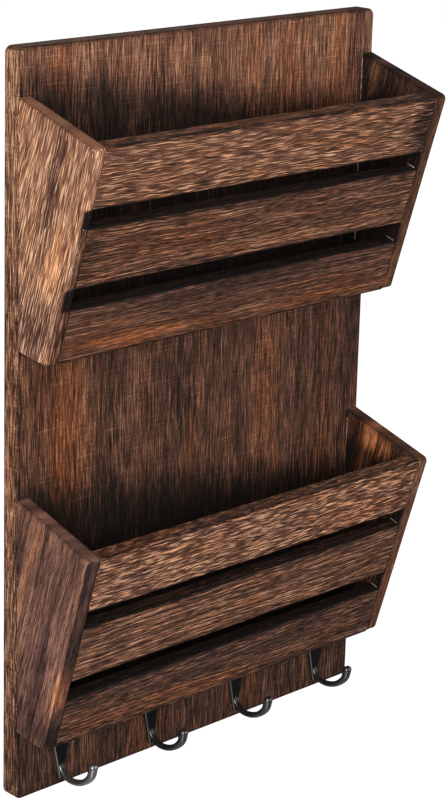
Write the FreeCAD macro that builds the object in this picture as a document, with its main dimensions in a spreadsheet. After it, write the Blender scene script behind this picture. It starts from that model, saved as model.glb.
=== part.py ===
"""Wall mail organizer: a tall back board with two slatted letter pockets and four key hooks.

+Z is up, +X is to the viewer's right and the front faces -Y. The board's back lies in the plane y = 0.
The origin is midway between the two hanging keyholes, on the board's back face.
"""
import FreeCAD, Part
import Sketcher
import math
import os

Vector = FreeCAD.Vector

# Driving dimensions, in millimetres, with angles in degrees
DIMENSIONS = [
    ("board_width", 260.0, "back board across"),
    ("board_height", 410.0, "back board from top to bottom"),
    ("board_thick", 12.5, "back board from front to back"),
    ("board_corner", 4.0, "radius of the board's four corners"),
    ("board_ease", 1.8, "radius sanded on the board's edges"),
    ("keyhole_spacing", 160.0, "between the two keyholes"),
    ("keyhole_drop", 40.0, "from the board's top edge down to the keyhole entries"),
    ("keyhole_entry_radius", 5.0, "hole that a wall screw's head goes into"),
    ("keyhole_neck_radius", 2.5, "half the width of the slot that the screw's shank runs up"),
    ("keyhole_head_radius", 4.2, "half the width of the undercut that the screw's head runs up"),
    ("keyhole_rise", 11.0, "from the entry's centre up to the shank's seat"),
    ("keyhole_lip", 3.0, "wood left over the screw's head"),
    ("keyhole_head_room", 4.0, "depth of the undercut behind the lip"),
    ("pocket_top", 25.0, "from the board's top edge down to the upper pocket"),
    ("hook_strip", 40.0, "board left below the lower pocket, for the hooks"),
    ("pocket_depth", 57.5, "how far a pocket's upper front corner stands off the board"),
    ("front_lean", 16.55, "angle of the slatted front off the vertical"),
    ("bottom_fall", 3.0, "how far a cheek's lower edge falls towards the front"),
    ("cheek_thick", 8.5, "side panels of a pocket"),
    ("cheek_corner", 3.0, "radius of a cheek's two front corners"),
    ("cheek_ease", 1.1, "radius sanded on a cheek's edges"),
    ("slat_thick", 8.0, "slats of a pocket's front"),
    ("slat_width", 34.4, "top and middle slats"),
    ("bottom_slat_width", 31.7, "bottom slat, trimmed to the cheeks"),
    ("upper_gap", 10.4, "between the top and middle slats"),
    ("lower_gap", 12.1, "between the middle and bottom slats"),
    ("slat_ease", 1.0, "radius sanded on a slat's long edges"),
    ("floor_thick", 8.0, "board that closes a pocket below"),
    ("pocket_screw_radius", 1.5, "shank of the screws that hold the cheeks"),
    ("pocket_screw_head", 3.0, "radius of their countersunk heads"),
    ("pocket_screw_length", 24.0, "their length over all"),
    ("pocket_screw_point", 4.0, "length of their points"),
    ("pocket_screw_inset", 26.0, "from a cheek's ends to its screws"),
    ("hook_inset", 30.1, "from the board's sides to the middle of the outer hooks"),
    ("hook_clearance", 1.4, "between the lower pocket and the hooks' plates"),
    ("plate_thick", 2.0, "a hook's plate"),
    ("plate_top_radius", 6.5, "round upper end of the plate"),
    ("plate_top_height", 32.1, "its centre, above the hook's zero level"),
    ("plate_foot_radius", 1.2, "round lower end of the plate"),
    ("plate_foot_height", 5.5, "its centre, above the hook's zero level"),
    ("plate_ease", 0.5, "bevel on the plate's front edges"),
    ("arm_root_width", 3.4, "a hook's oval arm at the plate, from left to right"),
    ("arm_root_thick", 1.6, "the same root, through its bend"),
    ("arm_root_set", 0.3, "plate left behind the root"),
    ("arm_end_width", 5.8, "the arm at its end, which it swells to, from left to right"),
    ("arm_end_thick", 4.6, "the same end, through its bend"),
    ("arm_end_round", 2.0, "rounding of the end"),
    ("arm_root_height", 15.5, "where the arm leaves the plate, above the hook's zero level"),
    ("arm_sole_height", 6.1, "middle of the arm at its lowest, above the hook's zero level"),
    ("arm_heel_radius", 8.8, "bend from the plate to the sole"),
    ("arm_scoop_radius", 21.0, "wide bend of the scoop"),
    ("arm_scoop_turn", 48.0, "angle that the scoop turns through"),
    ("arm_lip_radius", 9.0, "closer bend up to the tip"),
    ("arm_lip_turn", 30.0, "angle that the lip turns through"),
    ("arm_tip_length", 5.5, "straight end of the arm"),
    ("hook_screw_radius", 1.3, "shank of the hook screws"),
    ("hook_screw_head", 2.4, "radius of their pan heads"),
    ("hook_screw_head_height", 1.8, "height of their pan heads"),
    ("hook_screw_length", 10.0, "their length under the head"),
    ("hook_screw_point", 3.0, "length of their points"),
    ("hook_screw_lift", 2.0, "from the centre of the plate's round top up to its two screws"),
    ("hook_screw_spacing", 5.8, "between the two screws of a hook, side by side"),
]
HOOKS = 4
POCKETS = ("upper", "lower")

# Lengths that follow from the driving dimensions, as expressions on the sheet
HALF_WIDTH = "(sizes.board_width / 2)"
BOARD_TOP = "sizes.keyhole_drop"
BOARD_FOOT = "(sizes.keyhole_drop - sizes.board_height)"
INNER_WIDTH = "(sizes.board_width - 2 * sizes.cheek_thick)"
FRONT_LENGTH = "(2 * sizes.slat_width + sizes.bottom_slat_width + sizes.upper_gap + sizes.lower_gap)"
TOP_FALL = "(sizes.pocket_depth * tan(sizes.front_lean))"
FRONT_FOOT = f"({TOP_FALL} + {FRONT_LENGTH} * cos(sizes.front_lean))"
FOOT_DEPTH = f"(sizes.pocket_depth - {FRONT_LENGTH} * sin(sizes.front_lean))"
BACK_HEIGHT = f"({FRONT_FOOT} - sizes.bottom_fall)"
HOOK_PITCH = f"((sizes.board_width - 2 * sizes.hook_inset) / ({HOOKS} - 1))"
PLATE_TOP = "(sizes.plate_top_height + sizes.plate_top_radius)"
HOOK_LEVEL = f"({BOARD_FOOT} + sizes.hook_strip - sizes.hook_clearance - {PLATE_TOP})"
ARM_ROOT = "(-sizes.arm_root_set - sizes.arm_root_thick / 2)"
HOOK_HOLES = "(sizes.plate_top_height + sizes.hook_screw_lift)"
POCKET_Z = {
    "upper": f"({BOARD_TOP} - sizes.pocket_top)",
    "lower": f"({BOARD_FOOT} + sizes.hook_strip + {BACK_HEIGHT})",
}

doc = FreeCAD.newDocument("mail_organizer")
sheet = doc.addObject("Spreadsheet::Sheet", "sizes")


def fill_sheet():
    for row, (alias, value, note) in enumerate(DIMENSIONS, 1):
        sheet.set(f"A{row}", alias)
        sheet.set(f"B{row}", str(value))
        sheet.setAlias(f"B{row}", alias)
        sheet.set(f"C{row}", note)
    doc.recompute()


def value_of(expression):
    """The number that an expression on the sheet comes to."""
    return float(sheet.evalExpression(expression))


# Bodies, sketches and features

def new_body(label):
    body = doc.addObject("PartDesign::Body", label)
    body.Label = label
    return body


def place(body, x="0", y="0", z="0", lean=None):
    """Binds a body's place to the sheet, and its lean about the X axis where it has one."""
    if lean:
        body.Placement.Rotation = FreeCAD.Rotation(Vector(1, 0, 0), value_of(lean))
        body.setExpression("Placement.Rotation.Angle", lean)
    body.setExpression("Placement.Base.x", x)
    body.setExpression("Placement.Base.y", y)
    body.setExpression("Placement.Base.z", z)


def new_sketch(body, name, role, offset="0"):
    """A sketch on one of the body's origin planes, or offset from it along the plane's normal."""
    plane = next(part for part in body.Origin.OriginFeatures if part.Role == role)
    sketch = body.newObject("Sketcher::SketchObject", f"{body.Name}_{name}")
    sketch.AttachmentSupport = [(plane, "")]
    sketch.MapMode = "FlatFace"
    sketch.setExpression("AttachmentOffset.Base.z", offset)
    return sketch


def fix_point(sketch, geometry, end, x, y):
    """Holds a sketch point at a place given by two expressions."""
    for kind, axis, expression in (("DistanceX", -2, x), ("DistanceY", -1, y)):
        if expression == "0":
            sketch.addConstraint(Sketcher.Constraint("PointOnObject", geometry, end, axis))
        else:
            constraint = Sketcher.Constraint(kind, -1, 1, geometry, end, value_of(expression))
            index = sketch.addConstraint(constraint)
            sketch.setExpression(f"Constraints[{index}]", expression)


def fix_size(sketch, kind, geometry, expression, factor=1.0):
    """Sets a radius or an arc's angle by an expression."""
    index = sketch.addConstraint(Sketcher.Constraint(kind, geometry, value_of(expression) * factor))
    sketch.setExpression(f"Constraints[{index}]", expression)


def draw_outline(sketch, corners):
    """A closed straight-sided outline through corners, each a pair of expressions."""
    points = [Vector(value_of(x), value_of(y), 0) for x, y in corners]
    count = len(points)
    for number in range(count):
        sketch.addGeometry(Part.LineSegment(points[number], points[(number + 1) % count]), False)
    for number in range(count):
        sketch.addConstraint(Sketcher.Constraint("Coincident", number, 2, (number + 1) % count, 1))
    for number, (x, y) in enumerate(corners):
        fix_point(sketch, number, 1, x, y)


def draw_circle(sketch, x, y, radius):
    centre = Vector(value_of(x), value_of(y), 0)
    index = sketch.addGeometry(Part.Circle(centre, Vector(0, 0, 1), value_of(radius)), False)
    fix_point(sketch, index, 3, x, y)
    fix_size(sketch, "Radius", index, radius)


def draw_drop(sketch, x, low, low_radius, high, high_radius):
    """Two round ends, one above the other, joined by tangent sides: a slot or a teardrop."""
    x0, y0, y1 = value_of(x), value_of(low), value_of(high)
    r0, r1 = value_of(low_radius), value_of(high_radius)
    # The sides lean out by the angle at which they touch both ends
    sine = (r1 - r0) / (y1 - y0)
    cosine = (1 - sine * sine) ** 0.5
    right = Vector(cosine, -sine, 0)
    left = Vector(-cosine, -sine, 0)
    bottom, top = Vector(x0, y0, 0), Vector(x0, y1, 0)
    below, above = Vector(0, -r0, 0), Vector(0, r1, 0)
    upper_arc = Part.Arc(top + right * r1, top + above, top + left * r1)
    lower_arc = Part.Arc(bottom + left * r0, bottom + below, bottom + right * r0)
    first = sketch.addGeometry(upper_arc, False)
    second = sketch.addGeometry(Part.LineSegment(top + left * r1, bottom + left * r0), False)
    third = sketch.addGeometry(lower_arc, False)
    fourth = sketch.addGeometry(Part.LineSegment(bottom + right * r0, top + right * r1), False)
    for here, there in ((first, second), (second, third), (third, fourth), (fourth, first)):
        sketch.addConstraint(Sketcher.Constraint("Tangent", here, 2, there, 1))
    fix_point(sketch, first, 3, x, high)
    fix_point(sketch, third, 3, x, low)
    fix_size(sketch, "Radius", first, high_radius)
    fix_size(sketch, "Radius", third, low_radius)


def draw_oval(sketch, y, width, thick):
    """Two half circles side by side, joined by straight sides, with their middle at x = 0."""
    radius = value_of(thick) / 2
    reach = value_of(width) / 2 - radius
    middle = Vector(0, value_of(y), 0)
    right, up = Vector(reach, 0, 0), Vector(0, radius, 0)
    out = Vector(reach + radius, 0, 0)
    first = sketch.addGeometry(Part.Arc(middle + right - up, middle + out, middle + right + up), False)
    second = sketch.addGeometry(Part.LineSegment(middle + right + up, middle - right + up), False)
    third = sketch.addGeometry(Part.Arc(middle - right + up, middle - out, middle - right - up), False)
    fourth = sketch.addGeometry(Part.LineSegment(middle - right - up, middle + right - up), False)
    for here, there in ((first, second), (second, third), (third, fourth), (fourth, first)):
        sketch.addConstraint(Sketcher.Constraint("Tangent", here, 2, there, 1))
    half_flat = f"(({width} - {thick}) / 2)"
    fix_point(sketch, first, 3, half_flat, y)
    fix_point(sketch, third, 3, f"(-{half_flat})", y)
    fix_size(sketch, "Radius", first, f"({thick} / 2)")
    fix_size(sketch, "Radius", third, f"({thick} / 2)")


def add_pad(body, sketch, length):
    pad = body.newObject("PartDesign::Pad", f"{sketch.Name}_pad")
    pad.Profile = sketch
    pad.setExpression("Length", length)
    doc.recompute()
    return pad


def add_pocket(body, sketch, depth, forward=True):
    """Cuts a sketch into the body, along the sketch's normal or against it, and makes sure that it cut."""
    before = body.Shape.Volume
    pocket = body.newObject("PartDesign::Pocket", f"{sketch.Name}_cut")
    pocket.Profile = sketch
    pocket.setExpression("Length", depth)
    pocket.Reversed = forward
    doc.recompute()
    if body.Shape.Volume >= before:
        raise RuntimeError(f"{pocket.Name} cuts nothing")
    return pocket


def edge_names(shape, wanted):
    return [f"Edge{number}" for number, edge in enumerate(shape.Edges, 1) if wanted(edge)]


def span(edge, axis):
    """Lowest and highest coordinate of an edge along one axis."""
    box = edge.BoundBox
    low = (box.XMin, box.YMin, box.ZMin)["xyz".index(axis)]
    high = (box.XMax, box.YMax, box.ZMax)["xyz".index(axis)]
    return low, high


def lies_at(edge, axis, place):
    low, high = span(edge, axis)
    return abs(low - place) < 1e-4 and abs(high - place) < 1e-4


def add_rounding(body, name, radius, wanted):
    """Rounds the edges of the body that the test picks."""
    base = body.Tip
    names = edge_names(base.Shape, wanted)
    if not names:
        raise RuntimeError(f"no edge for {name} on {body.Name}")
    fillet = body.newObject("PartDesign::Fillet", f"{body.Name}_{name}")
    fillet.Base = (base, names)
    fillet.setExpression("Radius", radius)
    doc.recompute()
    return fillet


def add_bevel(body, name, size, wanted):
    base = body.Tip
    chamfer = body.newObject("PartDesign::Chamfer", f"{body.Name}_{name}")
    chamfer.Base = (base, edge_names(base.Shape, wanted))
    chamfer.setExpression("Size", size)
    doc.recompute()
    return chamfer


# Where the screws go

def pocket_screw_heights(side):
    """Expressions for a pocket's two screw heights, from the plane z = 0."""
    top = POCKET_Z[side]
    return [
        f"({top} - sizes.pocket_screw_inset)",
        f"({top} - {BACK_HEIGHT} + sizes.pocket_screw_inset)",
    ]


def cheek_middles():
    return [
        f"(sizes.cheek_thick / 2 - {HALF_WIDTH})",
        f"({HALF_WIDTH} - sizes.cheek_thick / 2)",
    ]


def hook_middle(number):
    return f"(({number} - ({HOOKS} - 1) / 2) * {HOOK_PITCH})"


def hook_screw_places(number):
    """Left and right screw of a hook across the board."""
    return [f"({hook_middle(number)} {sign} sizes.hook_screw_spacing / 2)" for sign in "-+"]


# Back board

def cut_keyholes(body):
    """Two keyholes in the board's back: a round entry, a neck up from it and an undercut for the head."""
    entries = new_sketch(body, "entries", "XZ_Plane")
    necks = new_sketch(body, "necks", "XZ_Plane")
    undercuts = new_sketch(body, "undercuts", "XZ_Plane", "sizes.keyhole_lip")
    for sign in ("-", ""):
        x = f"({sign}sizes.keyhole_spacing / 2)"
        draw_circle(entries, x, "0", "sizes.keyhole_entry_radius")
        neck, head = "sizes.keyhole_neck_radius", "sizes.keyhole_head_radius"
        draw_drop(necks, x, "0", neck, "sizes.keyhole_rise", neck)
        draw_drop(undercuts, x, "0", head, "sizes.keyhole_rise", head)
    add_pocket(body, entries, "sizes.keyhole_lip + sizes.keyhole_head_room")
    add_pocket(body, necks, "sizes.keyhole_lip")
    add_pocket(body, undercuts, "sizes.keyhole_head_room")


def drill_for_pocket_screws(body):
    """Clear holes through the board for the screws into the cheeks, countersunk from the back."""
    sketch = new_sketch(body, "screw_holes", "XZ_Plane")
    for side in POCKETS:
        for z in pocket_screw_heights(side):
            for x in cheek_middles():
                draw_circle(sketch, x, z, "sizes.pocket_screw_radius")
    add_pocket(body, sketch, "sizes.board_thick")
    radius = value_of("sizes.pocket_screw_radius")

    def is_back_rim(edge):
        is_round = hasattr(edge.Curve, "Radius") and abs(edge.Curve.Radius - radius) < 1e-6
        return is_round and lies_at(edge, "y", 0)

    add_bevel(body, "countersinks", "sizes.pocket_screw_head - sizes.pocket_screw_radius", is_back_rim)


def drill_for_hook_screws(body):
    """Blind holes in the board's front for the hooks' screws."""
    sketch = new_sketch(body, "hook_holes", "XZ_Plane", "sizes.board_thick")
    for number in range(HOOKS):
        for x in hook_screw_places(number):
            draw_circle(sketch, x, f"({HOOK_LEVEL} + {HOOK_HOLES})", "sizes.hook_screw_radius")
    add_pocket(body, sketch, "sizes.hook_screw_length - sizes.plate_thick", forward=False)


def back_board():
    body = new_body("back_board")
    sketch = new_sketch(body, "outline", "XZ_Plane")
    left, right = f"-{HALF_WIDTH}", HALF_WIDTH
    draw_outline(sketch, [(left, BOARD_FOOT), (right, BOARD_FOOT), (right, BOARD_TOP), (left, BOARD_TOP)])
    add_pad(body, sketch, "sizes.board_thick")
    front = -value_of("sizes.board_thick")

    def goes_through(edge):
        return span(edge, "y")[1] - span(edge, "y")[0] > -front / 2

    def is_rim(edge):
        return lies_at(edge, "y", 0) or lies_at(edge, "y", front)

    add_rounding(body, "corners", "sizes.board_corner", goes_through)
    add_rounding(body, "edges", "sizes.board_ease", is_rim)
    cut_keyholes(body)
    drill_for_pocket_screws(body)
    drill_for_hook_screws(body)
    return body


# Letter pockets

def cheek(side, hand):
    """A side panel: square at its upper front corner, so its top falls as its front leans."""
    body = new_body(f"{side}_{hand}_cheek")
    sketch = new_sketch(body, "outline", "YZ_Plane")
    draw_outline(sketch, [
        ("0", "0"),
        ("0", f"-{BACK_HEIGHT}"),
        (f"-{FOOT_DEPTH}", f"-{FRONT_FOOT}"),
        ("-sizes.pocket_depth", f"-{TOP_FALL}"),
    ])
    add_pad(body, sketch, "sizes.cheek_thick")
    thick = value_of("sizes.cheek_thick")

    def is_front_corner(edge):
        return span(edge, "x")[1] - span(edge, "x")[0] > thick / 2 and span(edge, "y")[1] < -1

    def is_side_edge(edge):
        on_side = lies_at(edge, "x", 0) or lies_at(edge, "x", thick)
        return on_side and span(edge, "y")[0] < -1e-4

    add_rounding(body, "corners", "sizes.cheek_corner", is_front_corner)
    add_rounding(body, "edges", "sizes.cheek_ease", is_side_edge)
    holes = new_sketch(body, "screw_holes", "XZ_Plane")
    for height in ("sizes.pocket_screw_inset", f"({BACK_HEIGHT} - sizes.pocket_screw_inset)"):
        draw_circle(holes, "(sizes.cheek_thick / 2)", f"-{height}", "sizes.pocket_screw_radius")
    add_pocket(body, holes, "sizes.pocket_screw_length - sizes.board_thick")
    x = f"-{HALF_WIDTH}" if hand == "left" else f"({HALF_WIDTH} - sizes.cheek_thick)"
    place(body, x, "-sizes.board_thick", POCKET_Z[side])
    return body


def slat(side, name, drop, width):
    """One slat of a pocket's front, set between the cheeks with its face flush with their front edges."""
    body = new_body(f"{side}_{name}_slat")
    sketch = new_sketch(body, "section", "YZ_Plane")
    foot = f"-({drop} + {width})"
    draw_outline(sketch, [
        ("0", f"-{drop}" if drop != "0" else "0"),
        ("0", foot),
        ("sizes.slat_thick", foot),
        ("sizes.slat_thick", f"-{drop}" if drop != "0" else "0"),
    ])
    add_pad(body, sketch, INNER_WIDTH)
    add_rounding(body, "edges", "sizes.slat_ease", lambda edge: span(edge, "x")[1] - span(edge, "x")[0] > 1)
    place(
        body,
        f"(sizes.cheek_thick - {HALF_WIDTH})",
        "(-sizes.board_thick - sizes.pocket_depth)",
        f"({POCKET_Z[side]} - {TOP_FALL})",
        lean="sizes.front_lean",
    )
    return body


def pocket_floor(side):
    """The board that letters stand on, its front edge planed to the lean of the bottom slat."""
    body = new_body(f"{side}_floor")
    sketch = new_sketch(body, "section", "YZ_Plane")
    inner_face = "(sizes.pocket_depth / cos(sizes.front_lean)^2 - sizes.slat_thick / cos(sizes.front_lean))"
    low = BACK_HEIGHT
    high = f"({BACK_HEIGHT} - sizes.floor_thick)"
    draw_outline(sketch, [
        ("0", f"-{low}"),
        (f"-({inner_face} - {low} * tan(sizes.front_lean))", f"-{low}"),
        (f"-({inner_face} - {high} * tan(sizes.front_lean))", f"-{high}"),
        ("0", f"-{high}"),
    ])
    add_pad(body, sketch, INNER_WIDTH)
    place(body, f"(sizes.cheek_thick - {HALF_WIDTH})", "-sizes.board_thick", POCKET_Z[side])
    return body


def letter_pocket(side):
    middle_drop = "(sizes.slat_width + sizes.upper_gap)"
    bottom_drop = "(2 * sizes.slat_width + sizes.upper_gap + sizes.lower_gap)"
    return [
        cheek(side, "left"),
        cheek(side, "right"),
        slat(side, "top", "0", "sizes.slat_width"),
        slat(side, "middle", middle_drop, "sizes.slat_width"),
        slat(side, "bottom", bottom_drop, "sizes.bottom_slat_width"),
        pocket_floor(side),
    ]


# Key hooks

def arm_path(sketch):
    """Middle line of a hook's arm, in the plane of depth and height: root, heel, scoop, lip and tip."""
    back = value_of(ARM_ROOT)
    root = value_of("sizes.arm_root_height")
    sole = value_of("sizes.arm_sole_height")
    heel = value_of("sizes.arm_heel_radius")
    straight = Part.LineSegment(Vector(back, root, 0), Vector(back, sole + heel, 0))
    sketch.addGeometry(straight, False)
    fix_point(sketch, 0, 1, ARM_ROOT, "sizes.arm_root_height")
    fix_point(sketch, 0, 2, ARM_ROOT, "(sizes.arm_sole_height + sizes.arm_heel_radius)")
    point, heading = Vector(back, sole + heel, 0), -90.0
    bends = [("heel", None), ("scoop", "sizes.arm_scoop_turn"), ("lip", "sizes.arm_lip_turn")]
    for name, turn in bends:
        radius = value_of(f"sizes.arm_{name}_radius")
        angle = value_of(turn) if turn else 90.0
        middle, _ = turned(point, heading, radius, angle / 2)
        end, leaving = turned(point, heading, radius, angle)
        index = sketch.addGeometry(Part.Arc(point, middle, end), False)
        sketch.addConstraint(tangent_joint(sketch, index))
        fix_size(sketch, "Radius", index, f"sizes.arm_{name}_radius")
        fix_sweep(sketch, index, turn or "90")
        point, heading = end, leaving
    tip = point + unit(heading) * value_of("sizes.arm_tip_length")
    index = sketch.addGeometry(Part.LineSegment(point, tip), False)
    sketch.addConstraint(tangent_joint(sketch, index))
    fix_size(sketch, "Distance", index, "sizes.arm_tip_length")


def arm_end():
    """Expressions for the depth and height of the arm's end, worked out along its bends."""
    turn = "sizes.arm_scoop_turn"
    leaving = "(sizes.arm_scoop_turn + sizes.arm_lip_turn)"
    depth = (
        f"({ARM_ROOT} - sizes.arm_heel_radius - sizes.arm_scoop_radius * sin({turn})"
        f" + sizes.arm_lip_radius * (sin({turn}) - sin({leaving})) - sizes.arm_tip_length * cos({leaving}))"
    )
    height = (
        f"(sizes.arm_sole_height + sizes.arm_scoop_radius * (1 - cos({turn}))"
        f" + sizes.arm_lip_radius * (cos({turn}) - cos({leaving})) + sizes.arm_tip_length * sin({leaving}))"
    )
    return depth, height


def unit(heading):
    """A unit vector in the sketch, with its heading in degrees from the sketch's x axis."""
    return FreeCAD.Rotation(Vector(0, 0, 1), heading).multVec(Vector(1, 0, 0))


def turned(point, heading, radius, angle):
    """Where a bend to the viewer's front ends, and the heading that it leaves with."""
    centre = point + unit(heading - 90) * radius
    end = centre + unit(heading + 90 - angle) * radius
    return end, heading - angle


def free_end(sketch, index):
    """The end of a piece of the path that the next piece joins: arcs are stored anticlockwise."""
    return 1 if "Arc" in sketch.Geometry[index].TypeId else 2


def tangent_joint(sketch, index):
    start = 2 if "Arc" in sketch.Geometry[index].TypeId else 1
    return Sketcher.Constraint("Tangent", index - 1, free_end(sketch, index - 1), index, start)


def fix_sweep(sketch, index, degrees):
    sweep = math.radians(value_of(degrees))
    number = sketch.addConstraint(Sketcher.Constraint("Angle", index, sweep))
    sketch.setExpression(f"Constraints[{number}]", f"{degrees} * 1 deg")


def hook_plate(body):
    """A teardrop plate, with two screw holes side by side in its round top."""
    plate = new_sketch(body, "plate", "XZ_Plane")
    draw_drop(
        plate, "0", "sizes.plate_foot_height", "sizes.plate_foot_radius",
        "sizes.plate_top_height", "sizes.plate_top_radius",
    )
    add_pad(body, plate, "sizes.plate_thick")
    front = -value_of("sizes.plate_thick")
    add_bevel(body, "plate_edges", "sizes.plate_ease", lambda edge: lies_at(edge, "y", front))
    holes = new_sketch(body, "holes", "XZ_Plane")
    for sign in ("-", ""):
        draw_circle(holes, f"({sign}sizes.hook_screw_spacing / 2)", HOOK_HOLES, "sizes.hook_screw_radius")
    add_pocket(body, holes, "sizes.plate_thick")


def hook_arm(body):
    """An oval arm that grows out of the plate and swells to a blunt, rounded end."""
    path = new_sketch(body, "path", "YZ_Plane")
    arm_path(path)
    root = new_sketch(body, "root", "XY_Plane", "sizes.arm_root_height")
    draw_oval(root, ARM_ROOT, "sizes.arm_root_width", "sizes.arm_root_thick")
    depth, height = arm_end()
    end = new_sketch(body, "end", "XY_Plane", height)
    turn = "(90 + sizes.arm_scoop_turn + sizes.arm_lip_turn)"
    end.AttachmentOffset.Rotation = FreeCAD.Rotation(Vector(-1, 0, 0), value_of(turn))
    end.setExpression("AttachmentOffset.Rotation.Angle", turn)
    end.setExpression("AttachmentOffset.Base.y", depth)
    draw_oval(end, "0", "sizes.arm_end_width", "sizes.arm_end_thick")
    doc.recompute()
    arm = body.newObject("PartDesign::AdditivePipe", f"{body.Name}_arm")
    arm.Profile = root
    arm.Spine = (path, [f"Edge{number}" for number in range(1, len(path.Geometry) + 1)])
    arm.Transformation = "Multisection"
    arm.Sections = [(end, [""])]
    doc.recompute()
    tip = Vector(0, value_of(depth), value_of(height))
    heading = FreeCAD.Rotation(Vector(-1, 0, 0), value_of(turn)).multVec(Vector(0, 0, -1))

    def is_end_rim(edge):
        return all(abs((vertex.Point - tip).dot(heading)) < 1e-3 for vertex in edge.Vertexes)

    add_rounding(body, "end", "sizes.arm_end_round", is_end_rim)


def key_hook(number):
    """A cast hook: its plate and its arm in one piece."""
    body = new_body(f"key_hook_{number + 1}")
    hook_plate(body)
    hook_arm(body)
    if len(body.Shape.Solids) != 1:
        raise RuntimeError(f"{body.Label} isn't one piece")
    place(body, hook_middle(number), "-sizes.board_thick", HOOK_LEVEL)
    return body


# Screws

def turned_profile(body, corners):
    """A solid of revolution about the body's Y axis, from a half section in the plane of Y and Z."""
    sketch = new_sketch(body, "half_section", "YZ_Plane")
    draw_outline(sketch, corners)
    turning = body.newObject("PartDesign::Revolution", f"{body.Name}_turning")
    turning.Profile = sketch
    turning.ReferenceAxis = (sketch, ["H_Axis"])
    turning.Angle = 360
    doc.recompute()
    return turning


def repeat(body, base, rows):
    """Copies one screw in straight rows: each row is an origin axis, a count and a pitch expression."""
    pattern = body.newObject("PartDesign::MultiTransform", f"{body.Name}_copies")
    pattern.Originals = [base]
    steps = []
    for role, count, pitch in rows:
        axis = next(part for part in body.Origin.OriginFeatures if part.Role == role)
        step = body.newObject("PartDesign::LinearPattern", f"{body.Name}_along_{role[0]}")
        step.Direction = (axis, [""])
        step.Mode = "Spacing"
        step.Occurrences = count
        step.setExpression("Offset", pitch)
        steps.append(step)
    pattern.Transformations = steps
    body.Tip = pattern
    doc.recompute()


def pocket_screws(side):
    """The four countersunk screws that hold a pocket's cheeks, driven from the board's back."""
    body = new_body(f"{side}_pocket_screws")
    sink = "(sizes.pocket_screw_head - sizes.pocket_screw_radius)"
    base = turned_profile(body, [
        ("0", "0"),
        ("0", "sizes.pocket_screw_head"),
        (f"-{sink}", "sizes.pocket_screw_radius"),
        ("(sizes.pocket_screw_point - sizes.pocket_screw_length)", "sizes.pocket_screw_radius"),
        ("-sizes.pocket_screw_length", "0"),
    ])
    repeat(body, base, [
        ("X_Axis", 2, "sizes.board_width - sizes.cheek_thick"),
        ("Z_Axis", 2, f"{BACK_HEIGHT} - 2 * sizes.pocket_screw_inset"),
    ])
    place(body, cheek_middles()[0], "0", pocket_screw_heights(side)[1])
    return body


def hook_screws():
    """The eight pan-head screws of the hooks, driven from the front."""
    body = new_body("hook_screws")
    shoulder = "(sizes.hook_screw_length - sizes.hook_screw_point)"
    base = turned_profile(body, [
        ("-sizes.hook_screw_head_height", "0"),
        ("-sizes.hook_screw_head_height", "(sizes.hook_screw_head / 2)"),
        ("(-sizes.hook_screw_head_height / 2)", "sizes.hook_screw_head"),
        ("0", "sizes.hook_screw_head"),
        ("0", "sizes.hook_screw_radius"),
        (shoulder, "sizes.hook_screw_radius"),
        ("sizes.hook_screw_length", "0"),
    ])
    repeat(body, base, [
        ("X_Axis", HOOKS, HOOK_PITCH),
        ("X_Axis", 2, "sizes.hook_screw_spacing"),
    ])
    front = "(-sizes.board_thick - sizes.plate_thick)"
    place(body, hook_screw_places(0)[0], front, f"({HOOK_LEVEL} + {HOOK_HOLES})")
    return body


def check(bodies):
    """Stops with a plain message where any object failed or any piece isn't a sound solid."""
    for item in doc.Objects:
        if "Invalid" in item.State or "Error" in item.State:
            raise RuntimeError(f"{item.Label} failed: {item.State}")
    for body in bodies:
        if body.Shape.isNull() or not body.Shape.isValid() or not body.Shape.Solids:
            raise RuntimeError(f"{body.Label} isn't a sound solid")


def write(bodies):
    os.makedirs("parts", exist_ok=True)
    for body in bodies:
        body.Shape.exportStep(f"parts/{body.Label}.step")


def main():
    fill_sheet()
    bodies = [back_board()]
    for side in POCKETS:
        bodies += letter_pocket(side)
        bodies.append(pocket_screws(side))
    bodies += [key_hook(number) for number in range(HOOKS)]
    bodies.append(hook_screws())
    doc.recompute()
    check(bodies)
    write(bodies)


main()
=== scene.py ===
import math
import random

import bmesh
import bpy
from mathutils import Matrix, Vector


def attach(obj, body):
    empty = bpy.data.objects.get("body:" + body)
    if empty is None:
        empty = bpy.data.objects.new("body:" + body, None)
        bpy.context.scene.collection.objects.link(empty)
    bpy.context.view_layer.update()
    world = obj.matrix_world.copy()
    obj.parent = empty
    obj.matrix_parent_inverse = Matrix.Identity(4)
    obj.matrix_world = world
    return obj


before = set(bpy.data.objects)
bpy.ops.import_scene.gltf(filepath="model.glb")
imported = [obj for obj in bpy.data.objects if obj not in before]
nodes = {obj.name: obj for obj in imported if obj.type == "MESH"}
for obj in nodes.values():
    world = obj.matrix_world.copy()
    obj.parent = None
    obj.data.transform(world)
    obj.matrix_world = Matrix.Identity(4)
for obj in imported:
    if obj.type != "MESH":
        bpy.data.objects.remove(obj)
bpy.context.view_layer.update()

# Sizes of the part in millimetres, in the frame's own axes

MM = 0.001
BOARD_THICK = 12.5
BOARD_FOOT = -370.0
BOARD_TOP = 40.0
HALF_WIDTH = 130.0
CHEEK_THICK = 8.5
CHEEK_INNER = HALF_WIDTH - CHEEK_THICK
POCKET_DEPTH = 57.5
POCKET_TOP = {"upper": 15.0, "lower": -198.0}
LEAN = math.radians(16.55)
TOP_FALL = POCKET_DEPTH * math.tan(LEAN)
FRONT_LENGTH = 123.0
BACK_HEIGHT = 132.0
SLAT_THICK = 8.0
SLATS = {"top": (0.0, 34.4), "middle": (44.8, 34.4), "bottom": (91.3, 31.7)}
DOWN_FRONT = Vector((0, math.sin(LEAN), -math.cos(LEAN)))
OUT_FRONT = Vector((0, -math.cos(LEAN), -math.sin(LEAN)))

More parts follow.
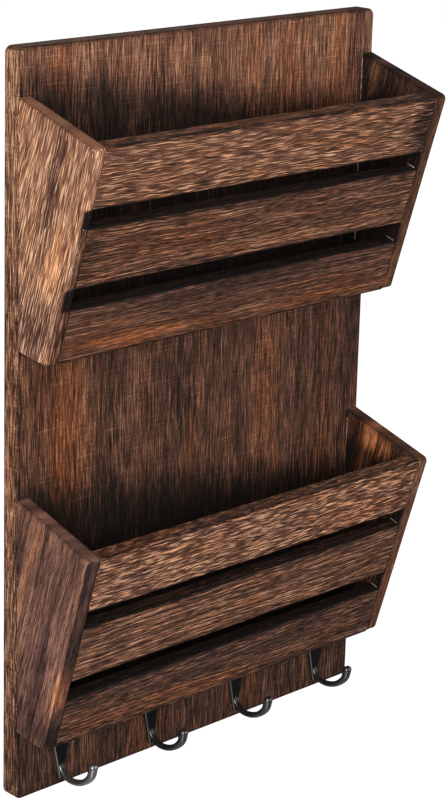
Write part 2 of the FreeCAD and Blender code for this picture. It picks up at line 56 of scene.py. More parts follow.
# Where the grain is measured from: out from the board's front, and down a cheek or up from a floor's foot
CHEEK_MIDDLE = (25.0, 65.0)
FLOOR_MIDDLE = (10.0, 4.0)


def front_corner(side, x=0.0):
    """The top of a pocket's leaning front, at x."""
    return Vector((x, -BOARD_THICK - POCKET_DEPTH, POCKET_TOP[side] - TOP_FALL))


# Shader nodes

def add(tree, kind, inputs=None, **settings):
    """Adds a node, sets its properties, and joins or sets its inputs."""
    item = tree.nodes.new("ShaderNode" + kind)
    for key, value in settings.items():
        setattr(item, key, value)
    for key, value in (inputs or {}).items():
        socket = item.inputs[key]
        if isinstance(value, bpy.types.NodeSocket):
            tree.links.new(value, socket)
        else:
            socket.default_value = value
    return item


def calc(tree, operation, a, b=0.0, c=0.0, clamp=False):
    """One sum on numbers or sockets."""
    return add(tree, "Math", {0: a, 1: b, 2: c}, operation=operation, use_clamp=clamp).outputs[0]


def smooth(tree, value, low, high, to_low=0.0, to_high=1.0):
    """A soft step from low to high."""
    inputs = {"Value": value, "From Min": low, "From Max": high, "To Min": to_low, "To Max": to_high}
    return add(tree, "MapRange", inputs, interpolation_type="SMOOTHSTEP").outputs[0]


def blend(tree, factor, a, b, mode="MIX"):
    """Colour b laid over colour a by a factor."""
    item = add(tree, "Mix", {0: factor, 6: a, 7: b}, data_type="RGBA", blend_type=mode)
    return item.outputs[2]


def noise(tree, vector, detail=2.0, rough=0.5):
    inputs = {"Vector": vector, "Scale": 1.0, "Detail": detail, "Roughness": rough}
    return add(tree, "TexNoise", inputs).outputs[0]


def line_noise(tree, value, detail=2.0, rough=0.5):
    """Noise along one number, for bands of uneven width."""
    inputs = {"W": value, "Scale": 1.0, "Detail": detail, "Roughness": rough}
    return add(tree, "TexNoise", inputs, noise_dimensions="1D").outputs[0]


def scaled(tree, vector, x, y, z, shift=(0, 0, 0)):
    """A vector divided by three lengths in its own unit, and moved."""
    item = add(tree, "VectorMath", {0: vector, 1: (1 / x, 1 / y, 1 / z), 2: shift}, operation="MULTIPLY_ADD")
    return item.outputs[0]


def colour(red, green, blue):
    """A linear colour from the 0 to 255 numbers that a screen shows."""
    parts = []
    for value in (red, green, blue):
        v = value / 255
        parts.append(v / 12.92 if v <= 0.04045 else ((v + 0.055) / 1.055) ** 2.4)
    return (*parts, 1.0)


def new_material(name):
    material = bpy.data.materials.new(name)
    material.use_nodes = True
    material.node_tree.nodes.clear()
    return material


def finish_surface(tree, inputs):
    shader = add(tree, "BsdfPrincipled", inputs)
    add(tree, "OutputMaterial", {"Surface": shader.outputs[0]})


def object_position(tree):
    return add(tree, "TexCoord").outputs["Object"]


def link_object(name, data):
    """A mesh, lamp or camera placed in the scene."""
    item = bpy.data.objects.new(name, data)
    bpy.context.scene.collection.objects.link(item)
    return item


# Torched and brushed wood

def grain_frame(tree, origin, along, across):
    """Coordinates in millimetres along the grain, across it and through the thickness."""
    position = object_position(tree)
    local = add(tree, "VectorMath", {0: position, 1: origin * MM}, operation="SUBTRACT").outputs[0]
    parts = []
    for axis in (along, across, along.cross(across)):
        part = add(tree, "VectorMath", {0: local, 1: axis * 1000}, operation="DOT_PRODUCT")
        parts.append(part.outputs["Value"])
    return parts


def face_distances(tree, faces):
    """Distances in millimetres from the faces of a piece, each given by a point and a direction out of it."""
    position = object_position(tree)
    distances = []
    for point, outward in faces:
        local = add(tree, "VectorMath", {0: position, 1: Vector(point) * MM}, operation="SUBTRACT").outputs[0]
        inward = -Vector(outward).normalized() * 1000
        item = add(tree, "VectorMath", {0: local, 1: inward}, operation="DOT_PRODUCT")
        distances.append(item.outputs["Value"])
    return distances


def arris_distance(tree, distances):
    """On any face the nearest plane is the face's own, so the second nearest gives the arris."""
    nearest, second = distances[0], 1000.0
    for item in distances[1:]:
        second = calc(tree, "MINIMUM", second, calc(tree, "MAXIMUM", nearest, item))
        nearest = calc(tree, "MINIMUM", nearest, item)
    return second


# Colours from charred to brushed bare, by how light the wood is at a place
BROWN = [
    (0.0, colour(13, 8, 6)),
    (0.25, colour(52, 33, 24)),
    (0.5, colour(101, 67, 50)),
    (0.75, colour(157, 112, 85)),
    (1.0, colour(219, 173, 139)),
]
PURPLISH = [
    (0.0, colour(14, 9, 9)),
    (0.25, colour(54, 36, 30)),
    (0.5, colour(104, 71, 59)),
    (0.75, colour(161, 117, 94)),
    (1.0, colour(222, 178, 144)),
]
WARM_TINT = (1.2, 0.92, 0.64, 1)
COOL_TINT = (0.92, 0.94, 1.06, 1)
BUMP = {"Strength": 0.5, "Distance": 0.0004}

# How far apart along the grain two pieces are cut, and how deep a face's own lightness goes, in millimetres
SEED_STEP = 61.7
SKIN = 0.9

# A piece's look, where it doesn't say otherwise. Sizes are half periods in millimetres, first along the grain
# and then across it. Shares and amounts count on the scale from charred, 0, to bare, 1.
WOOD = {
    "stops": BROWN,
    # Growth rings: where the pith lies across and through, and how the rings taper along the grain
    "pith": (-70.0, 26.0),
    "taper": 0.02,
    "band": 9.0,
    "band_share": 0.45,
    "line": 1.3,
    "line_share": 0.35,
    # How far the grain strays, and how much it curls in the figure
    "wave": 1.2,
    "curl": 0.0,
    "curl_length": 7.0,
    # Fibres raised by the brush. A dash's dark side is the dip's part of its light side.
    "fibre": (9.0, 0.34),
    "fibre_share": 0.45,
    "streak": (22.0, 0.9),
    "streak_share": 0.6,
    "dash": (6.0, 0.6),
    "dash_share": 0.0,
    "dip": 0.5,
    "grit_share": 0.1,
    "pore_share": 0.2,
    "bands": 0.0,
    "bands_size": (90.0, 4.5),
    # Marks of the brush across the grain
    "scratch": 0.0,
    # Torching, and listed patches: lightness in spots, warmth in glow
    "tone": 0.5,
    "torch": 0.4,
    "torch_size": (60.0, 14.0),
    "spots": (),
    "glow": (),
    "edge": 2.5,
    "edge_burn": 0.2,
    "hue_size": (50.0, 7.0),
    "warmth": 0.5,
    "seed": 0.0,
}


def centred(tree, value, share, onto=0.0):
    """Adds a noise's swing about its middle to another value."""
    return calc(tree, "MULTIPLY_ADD", calc(tree, "SUBTRACT", value, 0.5), share, onto)


def ramp(tree, value, stops):
    """A colour by a number, from places and tints."""
    item = add(tree, "ValToRGB", {0: value})
    elements = item.color_ramp.elements
    while len(elements) < len(stops):
        elements.new(0.5)
    for element, (place, tint) in zip(elements, stops):
        element.position = place
        element.color = tint
    return item.outputs[0]


def spots(tree, a, b, places):
    """Soft patches, each with its middle and half sizes along and across the grain, and its amount."""
    total = 0.0
    for middle_a, middle_b, half_a, half_b, amount in places:
        da = calc(tree, "DIVIDE", calc(tree, "SUBTRACT", a, middle_a), half_a)
        db = calc(tree, "DIVIDE", calc(tree, "SUBTRACT", b, middle_b), half_b)
        square = calc(tree, "MULTIPLY_ADD", da, da, calc(tree, "MULTIPLY", db, db))
        patch = smooth(tree, calc(tree, "SQRT", square), 1.2, 0.3, 0.0, amount)
        total = calc(tree, "ADD", patch, total)
    return total


def wood(name, origin, along, across, faces, shade=None, **changes):
    """Torched and wire-brushed wood.

    Each face is a point on it, the direction out of it, how much lighter it is than the rest, and how
    strongly its fibres show. A shade function may lighten or darken the piece by place.
    """
    look = dict(WOOD, **changes)
    material = new_material(name)
    tree = material.node_tree
    a, b, c = grain_frame(tree, origin, along, across)
    seed = look["seed"] * SEED_STEP

    # Patches with frayed outlines
    loose = add(tree, "CombineXYZ", {0: a, 1: b, 2: seed}).outputs[0]
    frayed_a = centred(tree, noise(tree, scaled(tree, loose, 12, 5, 9), detail=3), 14, a)
    frayed_b = centred(tree, noise(tree, scaled(tree, loose, 9, 2.5, 9, (4, 4, 4)), detail=3), 5, b)
    patches = spots(tree, frayed_a, frayed_b, look["spots"])
    glow = spots(tree, frayed_a, frayed_b, look["glow"])
    a = calc(tree, "ADD", a, seed)
    plain = add(tree, "CombineXYZ", {0: a, 1: b, 2: c}).outputs[0]

    # The grain wanders a little, and curls where the figure is strong
    wander = noise(tree, scaled(tree, plain, 80, 24, 24, (seed, 0, 0)), detail=2)
    b = centred(tree, wander, look["wave"] * 4, b)
    ripple = noise(tree, scaled(tree, plain, 14, 6, 6, (seed, 7, 0)), detail=1)
    b = centred(tree, ripple, look["wave"], b)
    if look["curl"] > 0:
        length = look["curl_length"]
        curl = noise(tree, scaled(tree, plain, length, length * 0.9, 20, (3, 3, seed)), detail=1)
        b = centred(tree, curl, look["curl"], b)
    grain = add(tree, "CombineXYZ", {0: a, 1: b, 2: c}).outputs[0]

    # Growth rings about a pith that lies beside the piece
    pith_b, pith_c = look["pith"]
    db = calc(tree, "SUBTRACT", b, pith_b)
    dc = calc(tree, "SUBTRACT", c, pith_c)
    square = calc(tree, "ADD", calc(tree, "MULTIPLY", db, db), calc(tree, "MULTIPLY", dc, dc))
    radius = calc(tree, "MULTIPLY_ADD", a, look["taper"], calc(tree, "SQRT", square))
    band = line_noise(tree, calc(tree, "DIVIDE", radius, look["band"]), detail=2)
    line = line_noise(tree, calc(tree, "DIVIDE", radius, look["line"]), detail=2, rough=0.6)

    # Fibres raised by the brush, in several lengths
    long, thin = look["fibre"]
    fibre = noise(tree, scaled(tree, grain, long, thin, thin, (0, seed, 5)), detail=1.5, rough=0.55)
    fibre = smooth(tree, fibre, 0.36, 0.64, 0.22, 1.0)
    long, thin = look["streak"]
    streak = noise(tree, scaled(tree, grain, long, thin, thin, (0, seed, 9)), detail=2, rough=0.55)
    pore = noise(tree, scaled(tree, grain, 3.0, 0.34, 0.34, (5, seed, 2)), detail=1)
    pore = smooth(tree, pore, 0.56, 0.72)
    grit = noise(tree, scaled(tree, grain, 0.9, 0.4, 0.4, (8, seed, 8)), detail=1)
    long, thin = look["dash"]
    dash = noise(tree, scaled(tree, grain, long, thin, thin, (2, seed, 4)), detail=1, rough=0.5)
    dip = smooth(tree, dash, 0.44, 0.35, 0.0, look["dip"])
    dash = calc(tree, "SUBTRACT", smooth(tree, dash, 0.53, 0.62), dip)
    height = centred(tree, fibre, look["fibre_share"])
    height = centred(tree, streak, look["streak_share"], height)
    height = centred(tree, line, look["line_share"], height)
    height = centred(tree, grit, look["grit_share"], height)
    height = calc(tree, "MULTIPLY_ADD", pore, -look["pore_share"], height)
    height = calc(tree, "MULTIPLY_ADD", dash, look["dash_share"], height)
    if look["scratch"] > 0:
        mark = noise(tree, scaled(tree, plain, 0.4, 26, 26, (4, seed, 4)), detail=1.5)
        height = calc(tree, "MULTIPLY_ADD", smooth(tree, mark, 0.56, 0.72), look["scratch"], height)
    if look["bands"] > 0:
        dark = noise(tree, scaled(tree, plain, *look["bands_size"], 9, (6, seed, 6)), detail=2)
        height = calc(tree, "MULTIPLY_ADD", smooth(tree, dark, 0.54, 0.64), -look["bands"], height)

    # How far the flame went, by place, by face and at the arrises, with painted shade added in places by the shade
    # function and by darker faces
    patch = noise(tree, scaled(tree, plain, *look["torch_size"], 26, (3, seed, 1)), detail=3)
    tone = centred(tree, band, look["band_share"], look["tone"])
    tone = centred(tree, patch, look["torch"], tone)
    tone = calc(tree, "ADD", tone, patches)
    if shade:
        tone = calc(tree, "ADD", tone, shade(tree))
    if faces:
        distances = face_distances(tree, [face[:2] for face in faces])
        ragged = noise(tree, scaled(tree, plain, 10, 3, 3, (1, 1, seed)), detail=3)
        near = centred(tree, ragged, look["edge"] * 1.6, arris_distance(tree, distances))
        tone = calc(tree, "SUBTRACT", tone, smooth(tree, near, look["edge"], 0.0, 0.0, look["edge_burn"]))
        for distance, (_, _, lighter, strength) in zip(distances, faces):
            if lighter != 0:
                tone = calc(tree, "ADD", tone, smooth(tree, distance, SKIN, 0.15, 0.0, lighter))
            if strength != 1:
                height = calc(tree, "MULTIPLY", height, smooth(tree, distance, SKIN, 0.15, 1.0, strength))

    # The colour, warmer and cooler by place
    level = calc(tree, "ADD", tone, height, clamp=True)
    skin = ramp(tree, level, look["stops"])
    hue = noise(tree, scaled(tree, grain, *look["hue_size"], 8, (2, 2, seed)), detail=2)
    warm = calc(tree, "ADD", smooth(tree, hue, 0.48, 0.68, 0.0, look["warmth"]), glow, clamp=True)
    cool = calc(tree, "SUBTRACT", smooth(tree, hue, 0.5, 0.3, 0.0, look["warmth"]), glow, clamp=True)
    skin = blend(tree, warm, skin, WARM_TINT, "MULTIPLY")
    skin = blend(tree, cool, skin, COOL_TINT, "MULTIPLY")
    bump = add(tree, "Bump", {**BUMP, "Height": height}).outputs[0]
    rough = calc(tree, "MULTIPLY_ADD", level, -0.14, 0.72)
    finish_surface(tree, {
        "Base Color": skin, "Roughness": rough, "Normal": bump, "Specular IOR Level": 0.1,
    })
    return material


def dress(node, material):
    """Puts a material in the slot of one of the frame's pieces."""
    mesh = nodes[node].data
    mesh.materials.clear()
    mesh.materials.append(material)


# Painted shade in the pockets: the board turns black between these heights in metres, counted from the pocket's
# top; the black reaches higher at the left, where the left cheek shades it
MOUTH_FADE = {"upper": (0.004, -0.026), "lower": (-0.002, -0.034)}
FOOT_FADE = (-0.136, -0.131)
MOUTH_SLANT = 0.16
MOUTH_PAINTED_SHADE = -0.39


def board_shade(tree):
    """The board is blacker in the pockets, as painted shade, and darkens from its top to its foot."""
    parts = add(tree, "SeparateXYZ", {0: object_position(tree)}).outputs
    height = parts["Z"]
    slanted = calc(tree, "MULTIPLY_ADD", parts["X"], MOUTH_SLANT, height)
    # Painted shade of the pocket mouths, on the board's front only
    mouth_shade = 0.0
    for side, (start, end) in MOUTH_FADE.items():
        rim = POCKET_TOP[side] * MM
        above = smooth(tree, slanted, rim + start, rim + end)
        below = smooth(tree, height, rim + FOOT_FADE[0], rim + FOOT_FADE[1])
        mouth_shade = calc(tree, "MULTIPLY_ADD", above, below, mouth_shade)
    front_only = smooth(tree, parts["Y"], -0.0118, -0.0124)
    mouth_shade = calc(tree, "MULTIPLY", mouth_shade, front_only)
    fall = smooth(tree, height, 0.03, -0.12, 0.0, -0.17)
    fall = calc(tree, "ADD", fall, smooth(tree, height, -0.28, -0.34, 0.0, -0.08))
    return calc(tree, "MULTIPLY_ADD", mouth_shade, MOUTH_PAINTED_SHADE, fall)


# Patches on the board: up and to the right of its middle, half height, half width, and amount
BOARD_SPOTS = (
    (190, -104, 16, 9, 0.03),
    (-5, 50, 60, 11, 0.04),
    (12, -14, 42, 8, -0.12),
    (-24, 30, 22, 5, -0.1),
    (10, 100, 50, 14, -0.04),
    (40, -100, 60, 20, 0.05),
    (-15, -96, 70, 22, 0.05),
    (190, 116, 60, 12, -0.1),
    (20, 118, 90, 12, -0.06),
)
BOARD_GLOW = (
    (190, -104, 16, 9, 0.3),
    (-5, 50, 60, 11, 0.6),
    (12, -14, 42, 8, -0.9),
    (160, 60, 60, 12, 0.5),
    (-15, -96, 70, 22, 0.4),
)


def dress_board():
    faces = [
        ((-HALF_WIDTH, 0, 0), (-1, 0, 0), 0.12, 1.6),
        ((HALF_WIDTH, 0, 0), (1, 0, 0), 0.0, 1.0),
        ((0, 0, BOARD_TOP), (0, 0, 1), -0.1, 0.6),
        ((0, 0, BOARD_FOOT), (0, 0, -1), -0.2, 1.0),
        ((0, 0, 0), (0, 1, 0), 0.04, 1.0),
        ((0, -BOARD_THICK, 0), (0, -1, 0), 0.0, 1.0),
    ]
    middle = Vector((0, -BOARD_THICK / 2, (BOARD_TOP + BOARD_FOOT) / 2))
    material = wood(
        "board_wood", middle, Vector((0, 0, 1)), Vector((1, 0, 0)), faces, shade=board_shade, seed=1,
        fibre=(12.0, 0.34), fibre_share=0.42, streak=(50.0, 0.7), streak_share=0.24, bands=0.04,
        dash=(14.0, 0.6), dash_share=0.17, grit_share=0.34, scratch=0.14,
        pith=(-260.0, 120.0), band=16.0, band_share=0.22, line=1.6, line_share=0.2, wave=0.8,
        tone=0.4, torch=0.14, torch_size=(110.0, 26.0), hue_size=(260.0, 22.0), warmth=0.6,
        spots=BOARD_SPOTS, glow=BOARD_GLOW,
    )
    dress("back_board", material)


# The number under front is how much lighter the front edge is than the rest
CHEEK_LOOKS = {
    "upper_left": dict(
        tone=0.57, front=0.05, fibre=(9.0, 0.4), fibre_share=0.34, streak=(34.0, 0.8), streak_share=0.2,
        band_share=0.12, line_share=0.14, dash=(13.0, 0.7), dash_share=0.42, dip=0.4, bands=0.03,
        bands_size=(70.0, 4.0), torch=0.12, warmth=0.25, seed=3,
        spots=(
            (-25, -5, 44, 6.5, -0.19),
            (15, 6.5, 28, 7, 0.14),
            (-15, -20, 32, 9, 0.06),
            (52, 0, 18, 20, -0.16),
            (-11, 8, 2.4, 2.4, -0.12),
        ),
        glow=((15, 6.5, 28, 7, 0.5), (52, 0, 18, 20, -1.0), (-25, -5, 40, 4.4, -1.4)),
    ),
    # The upper right cheek's low tone is partly painted shade, for its inner face seen down in the pocket
    "upper_right": dict(tone=0.22, front=0.05, fibre_share=0.5, streak_share=0.3, seed=4),
    "lower_left": dict(
        tone=0.45, front=-0.28, fibre_share=0.4, streak=(50.0, 1.8), bands=0.1, bands_size=(90.0, 6.0),
        line_share=0.2, grit_share=0.25, stops=PURPLISH, seed=5,
        spots=((30, 16.5, 23, 3, 0.25), (-30, -8, 16, 7, -0.08), (60, 0, 14, 26, -0.2)),
        glow=((30, 16.5, 22, 4, 0.8), (0, 0, 70, 16, -1.0), (60, 0, 14, 26, -0.8)),
    ),
    "lower_right": dict(
        tone=0.34, front=0.05, torch=0.5, warmth=1.0, fibre_share=0.5, streak_share=0.4, seed=6,
        spots=((-47, -14, 9, 15, 0.26),), glow=((-47, -14, 11, 17, 1.0),),
    ),
}


# Down the upper left cheek's front edge: where each gap and slat starts and ends, and how much darker it is, as
# painted shade at the gaps and to match the slats beside them
FRONT_SHADE_BANDS = ((34.4, 44.8, -0.9), (44.8, 79.2, -0.34), (79.2, 91.3, -0.9), (91.3, 126.0, -0.36))
FRONT_SHADE_START_X = -126.6
LOW_SHADE_SHIFT = -1.6


def cheek_shade(side, hand):
    """Darkening that differs along a cheek, mostly painted shade.

    The inner faces are blacker deep in the pocket, as painted shade. The upper left cheek's front edge is painted
    black beside the gaps between the slats, as the gaps' painted shade, and darkened beside the two lower slats to
    match them.
    """
    inner = CHEEK_INNER * (-1 if hand == "left" else 1)

    def shade(tree):
        position = object_position(tree)
        x = calc(tree, "MULTIPLY", add(tree, "SeparateXYZ", {0: position}).outputs["X"], 1000)
        drop, depth = face_distances(tree, [(front_corner(side), -DOWN_FRONT), (front_corner(side), OUT_FRONT)])
        # Painted shade on the inner faces, growing down the pocket
        facing = smooth(tree, calc(tree, "ABSOLUTE", calc(tree, "SUBTRACT", x, inner)), 0.7, 0.1)
        deep = calc(tree, "MULTIPLY", facing, smooth(tree, drop, 2.0, 30.0, 0.0, -0.27))
        if (side, hand) != ("upper", "left"):
            return deep
        # Painted shade of the gaps carried onto the upper left cheek's front edge, and darkening beside the lower
        # slats
        edge = smooth(tree, depth, 1.1, 0.5)
        low = smooth(tree, drop, 77.0, 81.0)
        line = calc(tree, "MULTIPLY_ADD", low, LOW_SHADE_SHIFT, FRONT_SHADE_START_X)
        beyond = smooth(tree, calc(tree, "SUBTRACT", x, line), -1.6, 1.6)
        total = 0.0
        for start, end, amount in FRONT_SHADE_BANDS:
            after = smooth(tree, drop, start - 1.2, start + 1.2)
            before = smooth(tree, drop, end + 1.2, end - 1.2)
            total = calc(tree, "MULTIPLY_ADD", calc(tree, "MULTIPLY", after, before), amount, total)
        total = calc(tree, "MULTIPLY", total, calc(tree, "MULTIPLY", edge, beyond))
        return calc(tree, "ADD", total, deep)

    return shade


def dress_cheeks():
    for name, look in CHEEK_LOOKS.items():
        side, hand = name.split("_")
        top = POCKET_TOP[side]
        sense = -1 if hand == "left" else 1
        middle_x = (HALF_WIDTH - CHEEK_THICK / 2) * sense
        back_top = Vector((middle_x, -BOARD_THICK, top))
        corner = front_corner(side, middle_x)
        foot = corner + DOWN_FRONT * FRONT_LENGTH
        values = {"pith": (90.0, 40.0), "taper": 0.05, "band": 10.0, "edge_burn": 0.12, **look}
        faces = [
            (corner, OUT_FRONT, values.pop("front"), 0.8),
            (back_top, -DOWN_FRONT, -0.06, 0.35),
            (foot, (0, -0.08, -1), -0.1, 0.8),
            ((HALF_WIDTH * sense, 0, 0), (sense, 0, 0), 0.0, 1.0),
            # Inner faces a little darker, as painted shade
            ((CHEEK_INNER * sense, 0, 0), (-sense, 0, 0), -0.06, 1.0),
        ]
        middle = Vector((middle_x, -BOARD_THICK - CHEEK_MIDDLE[0], top - CHEEK_MIDDLE[1]))
        material = wood(
            f"{name}_cheek_wood", middle, DOWN_FRONT, OUT_FRONT, faces, shade=cheek_shade(side, hand), **values
        )
        dress(f"{name}_cheek", material)


SLAT_WOOD = dict(
    pith=(-55.0, -30.0), taper=0.012, band=7.0, band_share=0.1, line=0.85, line_share=0.5, streak_share=0.1,
    fibre=(12.0, 0.34), fibre_share=0.28, dash=(30.0, 0.62), dip=0.2, grit_share=0.24, pore_share=0.06, torch=0.1,
)
SLAT_LOOKS = {
    "upper_top": dict(
        tone=0.38, curl=1.0, fibre_share=0.26, dash=(13.0, 0.66), dash_share=0.38, dip=0.6, line_share=0.16,
        seed=11, spots=((121, 0, 17, 22, -0.3),), glow=((118, 0, 13, 18, -1.0),),
    ),
    "upper_middle": dict(
        tone=0.24, curl=0.4, fibre=(8.0, 0.5), fibre_share=0.42, dash_share=0.28, seed=12,
        spots=((-117, 0, 8, 20, -0.1), (40, -11, 70, 4, 0.08)), glow=((-60, 0, 50, 10, 0.5),),
    ),
    "upper_bottom": dict(
        tone=0.275, curl=0.3, fibre=(8.0, 0.5), fibre_share=0.34, dash_share=0.18, bands=0.06, seed=13,
        spots=((-70, -8, 60, 6, 0.08), (0, 10, 150, 5, -0.12), (60, -9, 60, 5, 0.04)),
        glow=((-70, -8, 60, 6, 1.0), (0, 10, 150, 6, -1.0), (70, -8, 60, 5, 0.6)),
    ),
    "lower_top": dict(
        tone=0.38, curl=1.6, fibre_share=0.26, dash=(9.0, 0.7), dash_share=0.42, dip=0.6, line_share=0.16,
        seed=14,
    ),
    "lower_middle": dict(
        tone=0.24, curl=0.6, fibre=(8.0, 0.5), fibre_share=0.46, dash_share=0.38, line_share=0.56, seed=15,
    ),
    "lower_bottom": dict(
        tone=0.15, curl=0.4, fibre=(8.0, 0.5), fibre_share=0.5, dash_share=0.28, line_share=0.58, seed=16,
        spots=((-40, -8, 110, 6, 0.06),), glow=((-40, -8, 110, 6, 0.6), (0, 10, 150, 6, -0.8)),
    ),
}


def dress_slats():
    for name, look in SLAT_LOOKS.items():
        side, place = name.split("_")
        drop, width = SLATS[place]
        top = front_corner(side) + DOWN_FRONT * drop
        middle = top + DOWN_FRONT * (width / 2) - OUT_FRONT * (SLAT_THICK / 2)
        faces = [
            # Top faces are darker; the middle and bottom slats' tops, down in the gaps, darker still as painted
            # shade
            (top, -DOWN_FRONT, -0.14 if place == "top" else -0.3, 0.7),
            (top + DOWN_FRONT * width, DOWN_FRONT, -0.1, 0.6),
            (top, OUT_FRONT, 0.0, 1.0),
        ]
        material = wood(
            f"{name}_slat_wood", middle, Vector((1, 0, 0)), -DOWN_FRONT, faces, **{**SLAT_WOOD, **look}
        )
        dress(f"{name}_slat", material)


def dress_floors():
    for number, side in enumerate(("upper", "lower")):
        middle = Vector((0, -BOARD_THICK - FLOOR_MIDDLE[0], POCKET_TOP[side] - BACK_HEIGHT + FLOOR_MIDDLE[1]))
        material = wood(
            f"{side}_floor_wood", middle, Vector((1, 0, 0)), Vector((0, 1, 0)), [], tone=0.3, seed=20 + number
        )
        dress(f"{side}_floor", material)


# Metal

def gunmetal(name):
    """Nearly black on the plates, with painted highlights on their edges and grey along the arms as wear and
    painted sheen, lightest on the first hook.
    """
    material = new_material(name)
    tree = material.node_tree
    position = object_position(tree)
    place = add(tree, "SeparateXYZ", {0: position}).outputs
    grit = noise(tree, scaled(tree, position, 0.0009, 0.0009, 0.0009), detail=3)
    cloud = noise(tree, scaled(tree, position, 0.006, 0.006, 0.006), detail=2)
    black = blend(tree, cloud, (0.006, 0.007, 0.007, 1), (0.02, 0.021, 0.021, 1))
    wear_and_sheen = blend(tree, cloud, (0.03, 0.03, 0.029, 1), (0.1, 0.098, 0.093, 1))
    lighter_grey = blend(tree, cloud, (0.13, 0.125, 0.12, 1), (0.24, 0.23, 0.22, 1))
    first_hook = smooth(tree, place["X"], -0.06, -0.07)
    wear_and_sheen = blend(tree, first_hook, wear_and_sheen, lighter_grey)
    # Painted highlight on the plates' edges, where the normal turns away from the front, and grey along the arms
    # as wear with painted sheen
    facing = add(tree, "SeparateXYZ", {0: add(tree, "TexCoord").outputs["Normal"]}).outputs["Y"]
    edge = smooth(tree, calc(tree, "ABSOLUTE", facing), 0.9, 0.5, 0.0, 0.8)
    arm = smooth(tree, place["Y"], -0.0146, -0.022)
    bare = calc(tree, "MAXIMUM", arm, edge)
    base = blend(tree, bare, black, wear_and_sheen)
    rough = calc(tree, "MULTIPLY_ADD", cloud, 0.14, 0.1)
    rough = calc(tree, "MULTIPLY_ADD", grit, 0.1, rough)
    bump = add(tree, "Bump", {"Strength": 0.2, "Distance": 0.0001, "Height": grit}).outputs[0]
    finish_surface(tree, {"Base Color": base, "Metallic": 0.85, "Roughness": rough, "Normal": bump})
    return material


def zinc(name):
    material = new_material(name)
    tree = material.node_tree
    position = object_position(tree)
    cloud = noise(tree, scaled(tree, position, 0.002, 0.002, 0.002), detail=3)
    base = blend(tree, cloud, (0.17, 0.155, 0.115, 1), (0.34, 0.325, 0.27, 1))
    rough = calc(tree, "MULTIPLY_ADD", cloud, 0.2, 0.38)
    finish_surface(tree, {"Base Color": base, "Metallic": 1.0, "Roughness": rough})
    return material


def dress_metal():
    metal = gunmetal("hook_gunmetal")
    for number in range(4):
        dress(f"key_hook_{number + 1}", metal)
    dress("hook_screws", metal)
    plated = zinc("screw_zinc")
    dress("upper_pocket_screws", plated)
    dress("lower_pocket_screws", plated)


# Dried glue, with its sizes in millimetres

RING_SIDES = 7
RING_SPACING = 0.8
CORNER_X = CHEEK_INNER - 0.1
THREAD_RADIUS = 0.26


def glue():
    material = new_material("dried_glue")
    tree = material.node_tree
    position = object_position(tree)
    cloud = noise(tree, scaled(tree, position, 0.0012, 0.0012, 0.0012), detail=3)
    base = blend(tree, smooth(tree, cloud, 0.35, 0.65), (0.08, 0.058, 0.042, 1), (0.3, 0.24, 0.19, 1))
    rough = calc(tree, "MULTIPLY_ADD", cloud, 0.3, 0.25)
    finish_surface(tree, {"Base Color": base, "Roughness": rough})
    return material


def bead(shape, start, end, radius, chance):
    """A thread or drop of glue: rings of uneven size about a line that strays a little."""
    start, end = Vector(start), Vector(end)
    line = end - start
    side = line.orthogonal().normalized()
    other = line.cross(side).normalized()
    steps = max(5, int(line.length / RING_SPACING))
    rings = []
    for number in range(steps + 1):
        share = number / steps
        full = math.sqrt(max(0.0, 1 - abs(2 * share - 1) ** 6))
        size = radius * full * chance.uniform(0.6, 1.1) + 0.02
        middle = start + line * share + side * chance.uniform(-0.1, 0.1) + other * chance.uniform(-0.1, 0.1)
        ring = []
        for turn in range(RING_SIDES):
            angle = math.tau * turn / RING_SIDES
            spoke = side * math.cos(angle) + other * math.sin(angle)
            ring.append(shape.verts.new((middle + spoke * size) * MM))
        rings.append(ring)
    for near, far in zip(rings, rings[1:]):
        for turn in range(RING_SIDES):
            after = (turn + 1) % RING_SIDES
            shape.faces.new((near[turn], near[after], far[after], far[turn]))
    shape.faces.new(list(reversed(rings[0])))
    shape.faces.new(rings[-1])


def glue_beads():
    """Squeezed-out glue in the pockets' right corners, and drops on the upper left cheek's front edge."""
    chance = random.Random(7)
    mesh = bpy.data.meshes.new("glue_beads")
    shape = bmesh.new()

    # Threads down the corner of the board and the right cheek, seen in the mouths and through the gaps
    for high, low in ((13.0, -12.0), (-47.0, -54.0), (-88.0, -95.0), (-203.0, -216.0)):
        y = -BOARD_THICK - 0.1
        bead(shape, (CORNER_X, y, high), (CORNER_X, y, low), THREAD_RADIUS, chance)

    # Threads on the tops of the middle and bottom slats, at the right cheek
    for side, drop in (("upper", 44.8), ("upper", 91.3), ("lower", 44.8), ("lower", 91.3)):
        top = front_corner(side, CORNER_X) + DOWN_FRONT * (drop - 0.1)
        bead(shape, top - OUT_FRONT * 1.3, top - OUT_FRONT * 7.6, 0.34, chance)

    # Drops and one long thread on the upper left cheek's front edge, and a drop on the board below it
    corner = front_corner("upper") - OUT_FRONT * 0.1
    for x, drop, reach, radius in ((-123.9, 4.2, 0.7, 0.7), (-124.4, 29.3, 1.2, 0.5), (-125.3, 44.2, 1.0, 0.6)):
        place = corner + DOWN_FRONT * drop + Vector((x, 0, 0))
        bead(shape, place, place + DOWN_FRONT * reach, radius, chance)
    near = corner + DOWN_FRONT * 45.5 + Vector((-125.6, 0, 0))
    far = corner + DOWN_FRONT * 76.0 + Vector((-126.1, 0, 0))
    bead(shape, near, far, 0.18, chance)
    bead(shape, (-94.4, -BOARD_THICK, -129.5), (-94.2, -BOARD_THICK, -130.6), 0.5, chance)
    shape.to_mesh(mesh)
    shape.free()
    for face in mesh.polygons:
        face.use_smooth = True
    mesh.materials.append(glue())
    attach(link_object("glue_beads", mesh), "root")


# Studio, with its sizes and places in metres

AROUND = 0.18
AIM = (0, -0.03, -0.15)


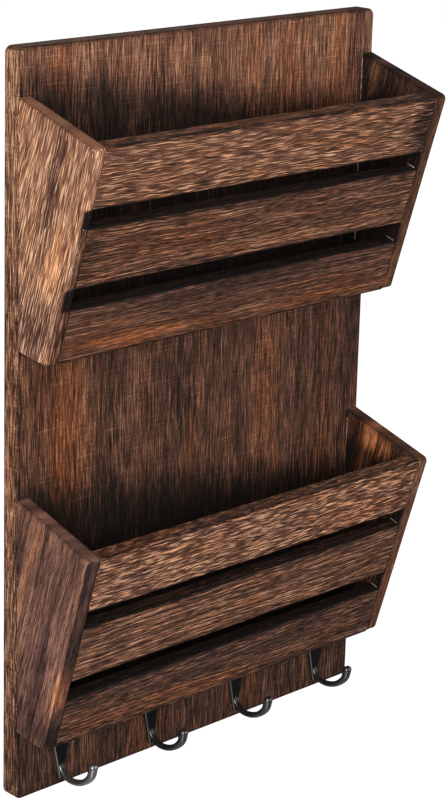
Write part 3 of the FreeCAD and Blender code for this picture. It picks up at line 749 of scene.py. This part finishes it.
def studio_floor():
    """A pale floor far below, white to the camera."""
    mesh = bpy.data.meshes.new("studio_floor")
    shape = bmesh.new()
    size, low = 40.0, -2.6
    square = ((-size, -size), (size, -size), (size, size), (-size, size))
    shape.faces.new([shape.verts.new((x, y, low)) for x, y in square])
    shape.to_mesh(mesh)
    shape.free()
    material = new_material("studio_floor")
    tree = material.node_tree
    seen = add(tree, "LightPath").outputs["Is Camera Ray"]
    finish_surface(tree, {
        "Base Color": (0.85, 0.85, 0.85, 1), "Roughness": 0.9,
        "Emission Color": (1, 1, 1, 1), "Emission Strength": calc(tree, "MULTIPLY", seen, 0.9),
    })
    mesh.materials.append(material)
    link_object("studio_floor", mesh)


def studio_world():
    """White to the camera, dimmer in reflections, and a faint light from all around."""
    world = bpy.data.worlds.new("studio")
    bpy.context.scene.world = world
    world.use_nodes = True
    tree = world.node_tree
    tree.nodes.clear()
    path = add(tree, "LightPath").outputs
    mirrored = calc(tree, "MULTIPLY", path["Is Glossy Ray"], 0.3)
    seen = calc(tree, "MAXIMUM", path["Is Camera Ray"], mirrored)
    seen = calc(tree, "MAXIMUM", seen, path["Is Transmission Ray"])
    strength = calc(tree, "MULTIPLY_ADD", seen, 1 - AROUND, AROUND)
    glow = add(tree, "Background", {"Color": (1, 1, 1, 1), "Strength": strength})
    add(tree, "OutputWorld", {"Surface": glow.outputs[0]})


def lamp(name, place, aim, size, power):
    """A square area lamp, with its size in metres and its power in watts."""
    data = bpy.data.lights.new(name, "AREA")
    data.shape = "SQUARE"
    data.size = size
    data.energy = power
    item = link_object(name, data)
    item.location = place
    item.rotation_euler = (Vector(aim) - Vector(place)).to_track_quat("-Z", "Y").to_euler()


def studio_lamps():
    lamp("key", (-1.35, -1.35, 0.35), AIM, 0.9, 52)
    lamp("top", (-0.5, -0.9, 1.5), AIM, 0.8, 14)
    lamp("fill", (1.3, -1.5, 0.0), AIM, 1.0, 10)
    lamp("bounce", (-0.8, -1.3, -1.6), AIM, 1.2, 10)
    lamp("back", (0.9, 1.7, -0.3), (0, 0, -0.17), 1.0, 26)


# The camera fitted to the photograph: pixels for the focal length and the shifts, degrees, and metres
PICTURE_HEIGHT = 800
FOCAL_LENGTH = 2348.08
SHIFT = (6.22, -84.21)
CAMERA_TURN = (-44.13, -15.26, 1.54)
CAMERA_PLACE = (-0.86236, -0.91341, 0.22073)
SENSOR = 36


def camera():
    """The photograph's camera: a long lens, above and to the left, with the picture shifted on its sensor."""
    yaw, pitch, roll = (math.radians(v) for v in CAMERA_TURN)
    forward = Vector((-math.sin(yaw) * math.cos(pitch), math.cos(yaw) * math.cos(pitch), math.sin(pitch)))
    level = Vector((math.cos(yaw), math.sin(yaw), 0))
    raised = level.cross(forward)
    right = level * math.cos(roll) + raised * math.sin(roll)
    up = raised * math.cos(roll) - level * math.sin(roll)
    data = bpy.data.cameras.new("camera")
    data.sensor_width = SENSOR
    data.lens = FOCAL_LENGTH / PICTURE_HEIGHT * SENSOR
    data.shift_x = SHIFT[0] / PICTURE_HEIGHT
    data.shift_y = SHIFT[1] / PICTURE_HEIGHT
    data.clip_end = 20
    item = link_object("camera", data)
    rotation = Matrix((right, up, -forward)).transposed().to_4x4()
    item.matrix_world = Matrix.Translation(CAMERA_PLACE) @ rotation
    bpy.context.scene.camera = item


bpy.context.scene.view_settings.view_transform = "Standard"
dress_board()
dress_cheeks()
dress_slats()
dress_floors()
dress_metal()
glue_beads()
studio_floor()
studio_world()
studio_lamps()
camera()
